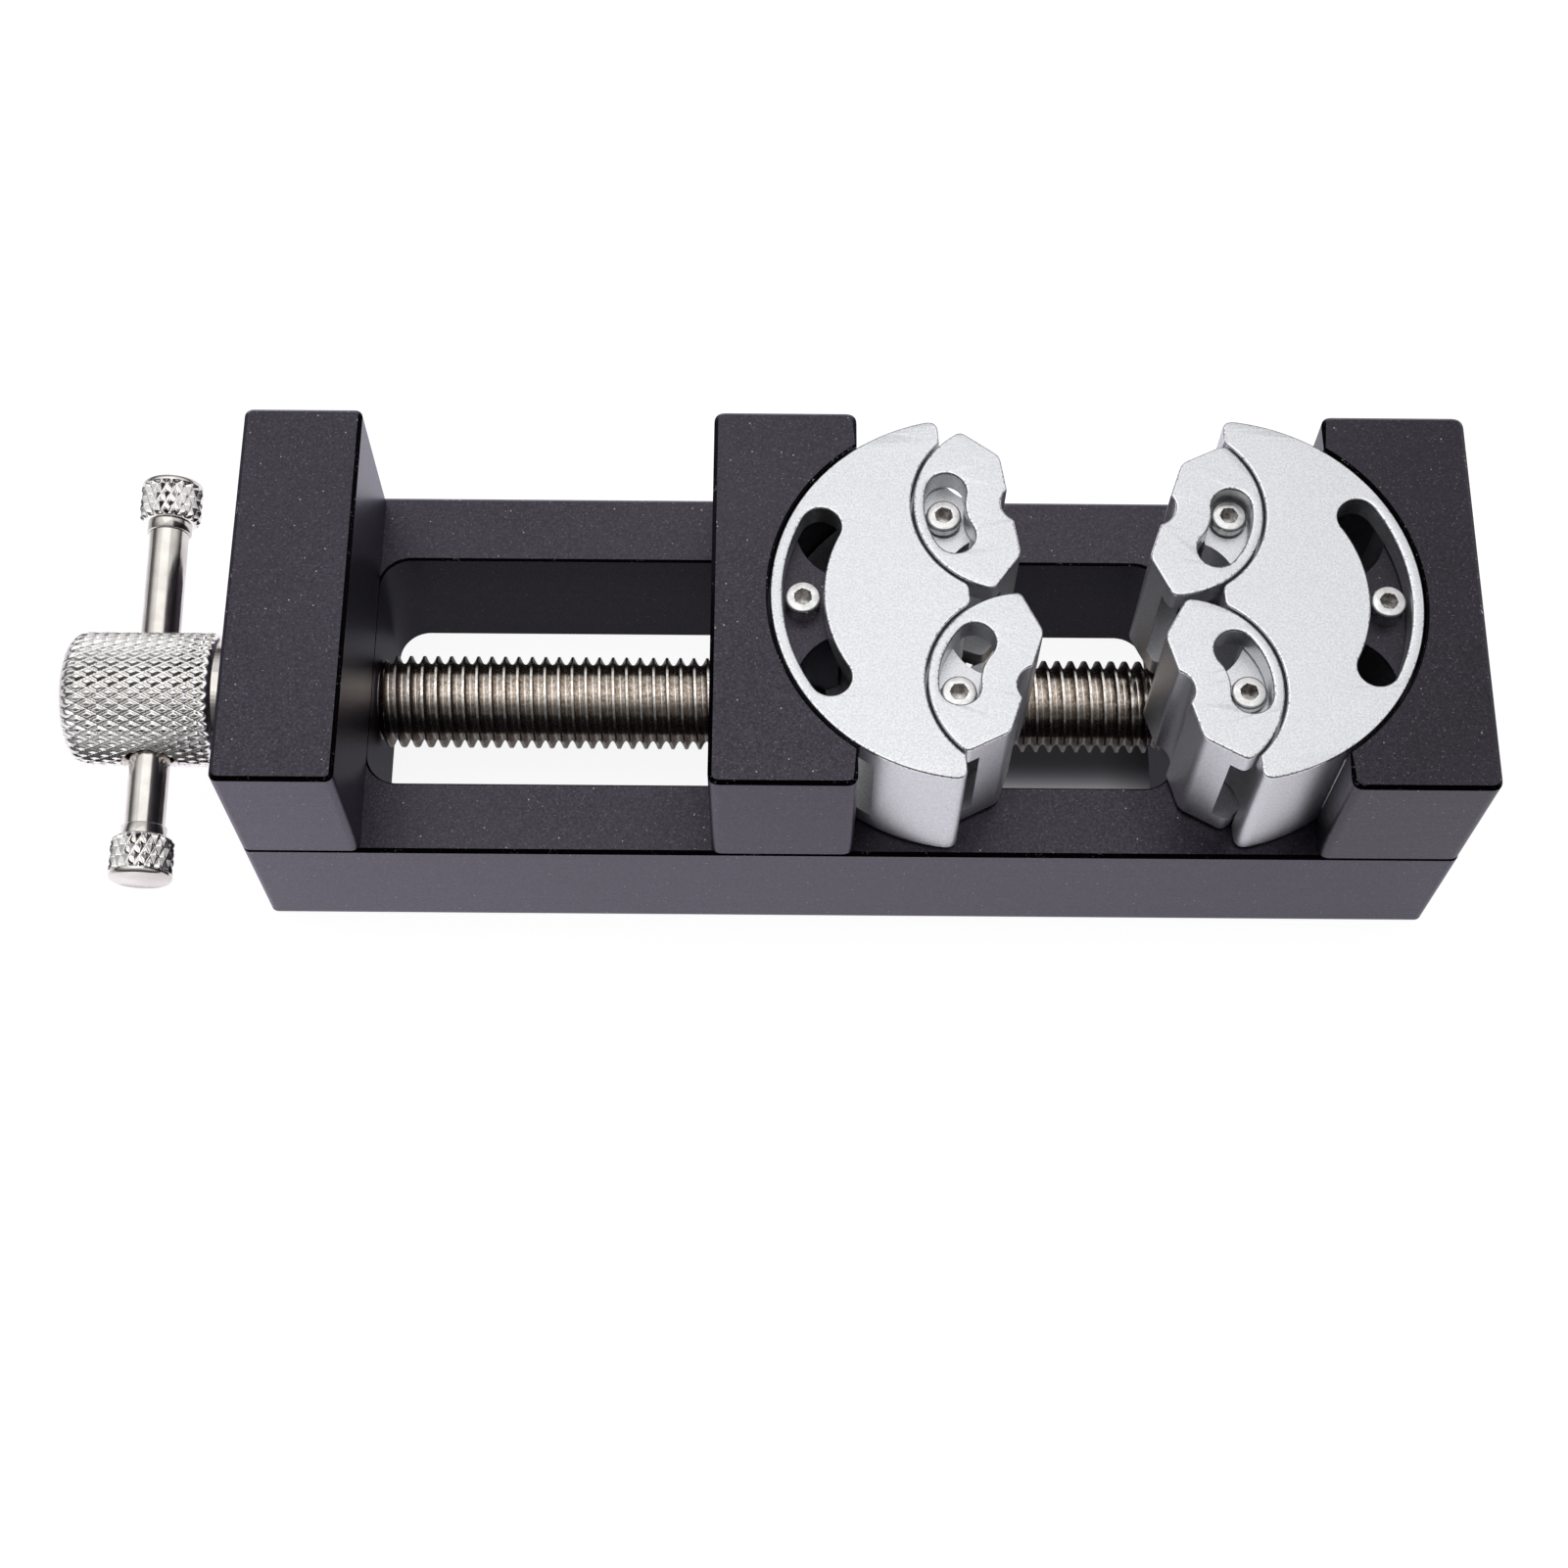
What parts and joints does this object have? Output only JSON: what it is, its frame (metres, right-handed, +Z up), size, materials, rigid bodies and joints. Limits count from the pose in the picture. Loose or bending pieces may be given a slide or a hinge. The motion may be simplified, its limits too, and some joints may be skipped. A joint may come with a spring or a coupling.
{
  "type": "bench vise with nested swivelling jaws",
  "caption": "Small bench vise: a lead screw moves a sliding block along a slotted bar, and nested crescents and half-round jaws swivel to fit odd shapes.",
  "frame": {"origin": "centre of the bar's underside, on the surface it stands on", "axes": "+X along the bar from the handle to the fixed jaw, +Y away from the picture's viewer, +Z up"},
  "size_m": [0.1761, 0.0557, 0.043],
  "materials": {
    "black_anodised": "bead-blasted black anodised aluminium, satin",
    "silver_anodised": "bead-blasted silver anodised aluminium, satin, with bright broken edges",
    "plated_steel": "nickel-plated knurled steel",
    "lead_steel": "bright oiled steel screw",
    "screw_steel": "stainless steel cap screws",
    "bronze": "plain bearing bronze"
  },
  "bodies": {
    "base": {"base_frame": "black_anodised", "end_block": "black_anodised", "fixed_jaw_block": "black_anodised", "spindle_bush": "bronze", "end_bush": "bronze", "thrust_washer": "screw_steel", "end_block_screws": "screw_steel", "fixed_block_screws": "screw_steel", "arc_screws_right": "screw_steel"},
    "moving_jaw": {"moving_jaw_block": "black_anodised", "carriage": "black_anodised", "lead_nut": "bronze", "carriage_screws": "screw_steel", "arc_screws_left": "screw_steel"},
    "spindle": {"lead_screw": "lead_steel", "handle_hub": "plated_steel"},
    "tommy_bar": {"handle_bar": "plated_steel", "handle_cap_near": "plated_steel", "handle_cap_far": "plated_steel"},
    "crescent_left": {"crescent_left": "silver_anodised", "crescent_screws_left": "screw_steel"},
    "crescent_right": {"crescent_right": "silver_anodised", "crescent_screws_right": "screw_steel"},
    "jaw_left_far": {"jaw_left_far": "silver_anodised"},
    "jaw_left_near": {"jaw_left_near": "silver_anodised"},
    "jaw_right_far": {"jaw_right_far": "silver_anodised"},
    "jaw_right_near": {"jaw_right_near": "silver_anodised"}
  },
  "joints": [
    {"name": "spindle_turn", "type": "hinge", "parent": "base", "child": "spindle", "pos_m": [-0.075, 0, 0.0115], "axis": [-1, 0, 0], "range_deg": [-8850, 2884]},
    {"name": "jaw_travel", "type": "slide", "parent": "base", "child": "moving_jaw", "axis": [1, 0, 0], "range_m": [-0.043, 0.014]},
    {"name": "bar_slide", "type": "slide", "parent": "spindle", "child": "tommy_bar", "axis": [0, 0.9954, 0.0958], "range_m": [-0.0144, 0.0085]},
    {"name": "crescent_left_turn", "type": "hinge", "parent": "moving_jaw", "child": "crescent_left", "pos_m": [0.01415, 0, 0.0321], "axis": [0, 0, 1], "range_deg": [-31, 24.2]},
    {"name": "crescent_right_turn", "type": "hinge", "parent": "base", "child": "crescent_right", "pos_m": [0.04365, 0, 0.0321], "axis": [0, 0, 1], "range_deg": [-29.95, 25.25]},
    {"name": "jaw_left_far_turn", "type": "hinge", "parent": "crescent_left", "child": "jaw_left_far", "pos_m": [0.01891, 0.01221, 0.0321], "axis": [0, 0, -1], "range_deg": [-16.2, 28.4]},
    {"name": "jaw_left_near_turn", "type": "hinge", "parent": "crescent_left", "child": "jaw_left_near", "pos_m": [0.02032, -0.01156, 0.0321], "axis": [0, 0, 1], "range_deg": [-0.9, 43.7]},
    {"name": "jaw_right_far_turn", "type": "hinge", "parent": "crescent_right", "child": "jaw_right_far", "pos_m": [0.03769, 0.01167, 0.0321], "axis": [0, 0, 1], "range_deg": [-0.85, 43.75]},
    {"name": "jaw_right_near_turn", "type": "hinge", "parent": "crescent_right", "child": "jaw_right_near", "pos_m": [0.03867, -0.01212, 0.0321], "axis": [0, 0, -1], "range_deg": [-8.45, 36.15]}
  ],
  "couplings": [
    {"joint": "spindle_turn", "follows": "jaw_travel", "rad_per_m": 3590.4}
  ]
}
